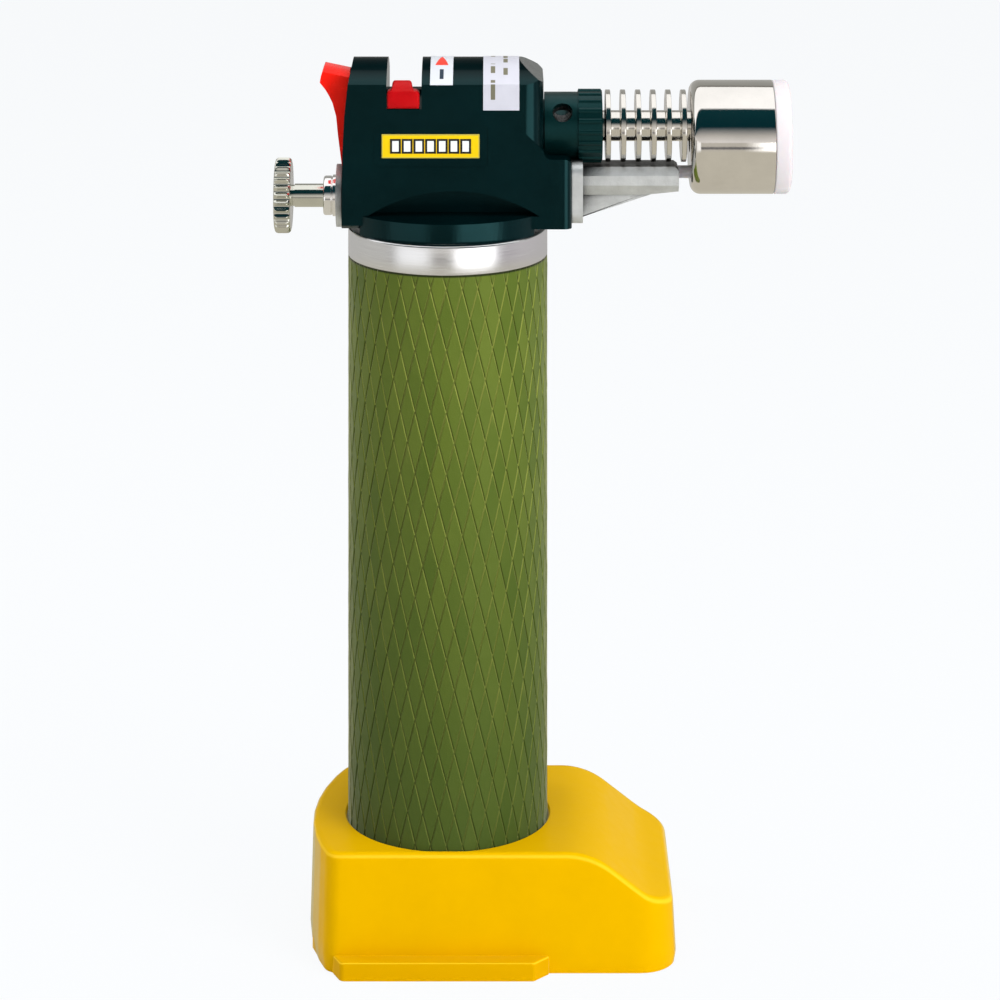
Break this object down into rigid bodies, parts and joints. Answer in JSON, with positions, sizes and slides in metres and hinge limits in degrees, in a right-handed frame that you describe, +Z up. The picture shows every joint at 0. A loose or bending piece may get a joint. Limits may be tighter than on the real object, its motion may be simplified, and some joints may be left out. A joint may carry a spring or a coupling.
{
  "type": "butane torch",
  "caption": "Hand-held butane micro torch with piezo trigger, side gas regulator, finned burner tube and shrouded nozzle, standing in a moulded base.",
  "frame": {"origin": "on the fuel tank's axis, on the ground under the stand", "axes": "+X along the flame, +Z up the tank, +Y to the side that holds the housing's screws"},
  "size_m": [0.098, 0.0484, 0.1658],
  "materials": {
    "stand_yellow": "moulded, satin gloss",
    "grip_green": "soft, diamond knurled",
    "tank_aluminium": "turned, brushed round",
    "zinc_cast": "die-cast, faintly grainy",
    "brass": "turned",
    "nickel": "polished nickel plate",
    "steel": "bright steel",
    "spring_steel": "drawn wire",
    "screw_steel": "blackened",
    "seal_rubber": "moulded",
    "housing_black": "moulded, glossy, very dark blue-green",
    "trigger_red": "moulded, glossy",
    "slider_red": "moulded, glossy",
    "plate_yellow": "printed foil",
    "label_white": "printed film",
    "sleeve_black": "moulded, satin",
    "igniter_black": "moulded",
    "igniter_cap": "moulded nylon",
    "copper": "drawn copper tube",
    "filter_felt": "sintered felt",
    "burner_steel": "heat-tinted steel",
    "ceramic": "fired, unglazed",
    "lead_insulation": "silicone insulation"
  },
  "bodies": {
    "stand": {"stand": "stand_yellow"},
    "torch": {"grip_sleeve": "grip_green", "tank": "tank_aluminium", "tank_cap": "zinc_cast", "tank_seal": "seal_rubber", "fill_valve_body": "brass", "fill_valve_gasket": "seal_rubber", "fill_valve_spring": "spring_steel", "gas_valve_body": "brass", "gas_valve_gasket": "seal_rubber", "gas_valve_spring": "spring_steel", "gas_filter": "filter_felt", "chassis": "zinc_cast", "chassis_screws": "steel", "collar_nut": "nickel", "spindle_seal": "seal_rubber", "housing_front": "housing_black", "housing_rear": "housing_black", "housing_screws": "screw_steel", "name_plate": "plate_yellow", "lock_label": "label_white", "notice_label": "label_white", "trigger_pin": "steel", "piezo_body": "igniter_black", "gas_tube": "copper", "jet": "brass", "burner_tube": "nickel", "flame_holder": "burner_steel", "shroud": "nickel", "nozzle_ring": "ceramic", "electrode_insulator": "ceramic", "electrode": "steel", "ignition_lead": "lead_insulation"},
    "trigger": {"trigger": "trigger_red"},
    "piezo_plunger": {"piezo_plunger": "igniter_cap"},
    "gas_valve_stem": {"gas_valve_stem": "brass"},
    "lock_slider": {"lock_slider": "slider_red"},
    "gas_knob": {"gas_knob": "nickel", "regulator_spindle": "nickel"},
    "air_sleeve": {"air_sleeve": "sleeve_black"},
    "fill_valve_stem": {"fill_valve_stem": "brass"}
  },
  "joints": [
    {"name": "torch_lift", "type": "slide", "parent": "stand", "child": "torch", "axis": [0, 0, 1], "range_m": [0, 0.06]},
    {"name": "trigger_pull", "type": "hinge", "parent": "torch", "child": "trigger", "pos_m": [-0.0174, 0, 0.1444], "axis": [0, 1, 0], "range_deg": [0, 10]},
    {"name": "piezo_plunger_push", "type": "slide", "parent": "torch", "child": "piezo_plunger", "axis": [1, 0, 0], "range_m": [0, 0.0014]},
    {"name": "gas_valve_press", "type": "slide", "parent": "torch", "child": "gas_valve_stem", "axis": [0, 0, 1], "range_m": [-0.0016, 0], "deforming": ["gas_valve_spring"]},
    {"name": "lock_slide", "type": "slide", "parent": "torch", "child": "lock_slider", "axis": [0, 1, 0], "range_m": [0, 0.0122]},
    {"name": "gas_knob_turn", "type": "hinge", "parent": "torch", "child": "gas_knob", "pos_m": [-0.0315, 0, 0.1395], "axis": [1, 0, 0], "range_deg": [0, 540]},
    {"name": "air_sleeve_turn", "type": "hinge", "parent": "torch", "child": "air_sleeve", "pos_m": [0.0218, 0, 0.1528], "axis": [1, 0, 0], "range_deg": [0, 70]},
    {"name": "fill_valve_press", "type": "slide", "parent": "torch", "child": "fill_valve_stem", "axis": [0, 0, 1], "range_m": [0, 0.0015], "deforming": ["fill_valve_spring"]}
  ],
  "couplings": [
    {"joint": "piezo_plunger_push", "follows": "trigger_pull", "m_per_rad": 0.0075},
    {"joint": "gas_valve_press", "follows": "trigger_pull", "m_per_rad": -0.0087}
  ]
}
